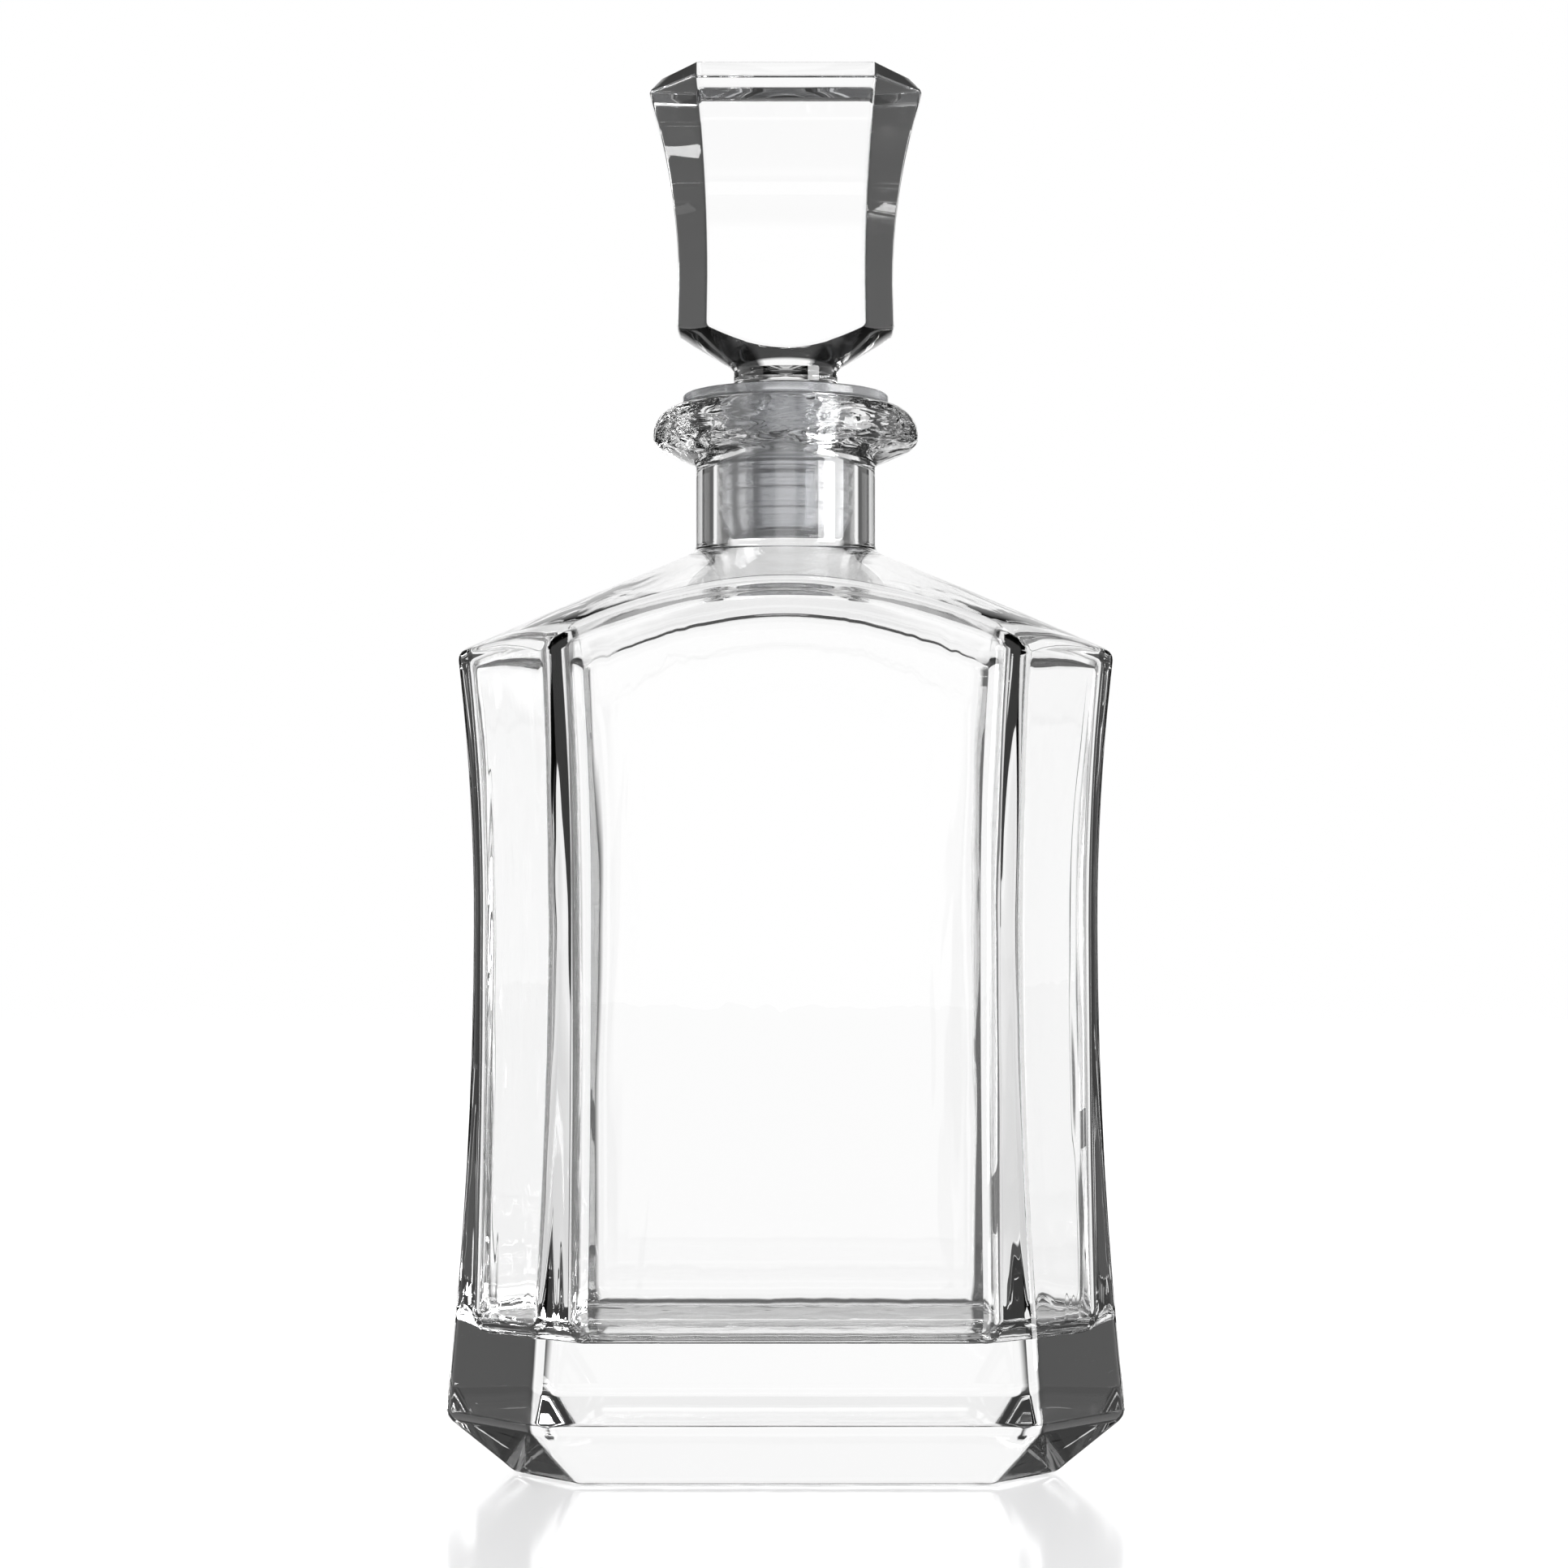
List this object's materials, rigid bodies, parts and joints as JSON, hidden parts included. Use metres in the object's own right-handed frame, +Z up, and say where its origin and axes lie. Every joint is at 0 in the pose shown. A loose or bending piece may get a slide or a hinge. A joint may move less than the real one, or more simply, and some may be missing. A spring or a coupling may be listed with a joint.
{
  "type": "stoppered decanter",
  "caption": "Clear glass decanter with waisted sides, chamfered corners, a heavy bevelled base and a faceted glass stopper in a plastic sealing sleeve.",
  "frame": {"origin": "middle of the flat underside of the base", "axes": "+Z up along the neck and the stopper, +X along the wide side of the body, the front face looks towards -Y"},
  "size_m": [0.119, 0.072, 0.2498],
  "materials": {
    "clear_glass": "polished",
    "clear_plastic": "satin"
  },
  "bodies": {
    "bottle": {"decanter_body": "clear_glass"},
    "sleeve": {"stopper_sleeve": "clear_plastic"},
    "head": {"stopper_head": "clear_glass"}
  },
  "joints": [
    {"name": "stopper_pull", "type": "slide", "parent": "bottle", "child": "sleeve", "axis": [0, 0, 1], "range_m": [0, 0.045]},
    {"name": "stopper_twist", "type": "hinge", "parent": "sleeve", "child": "head", "pos_m": [0, 0, 0.1936], "axis": [0, 0, 1], "continuous": true}
  ]
}
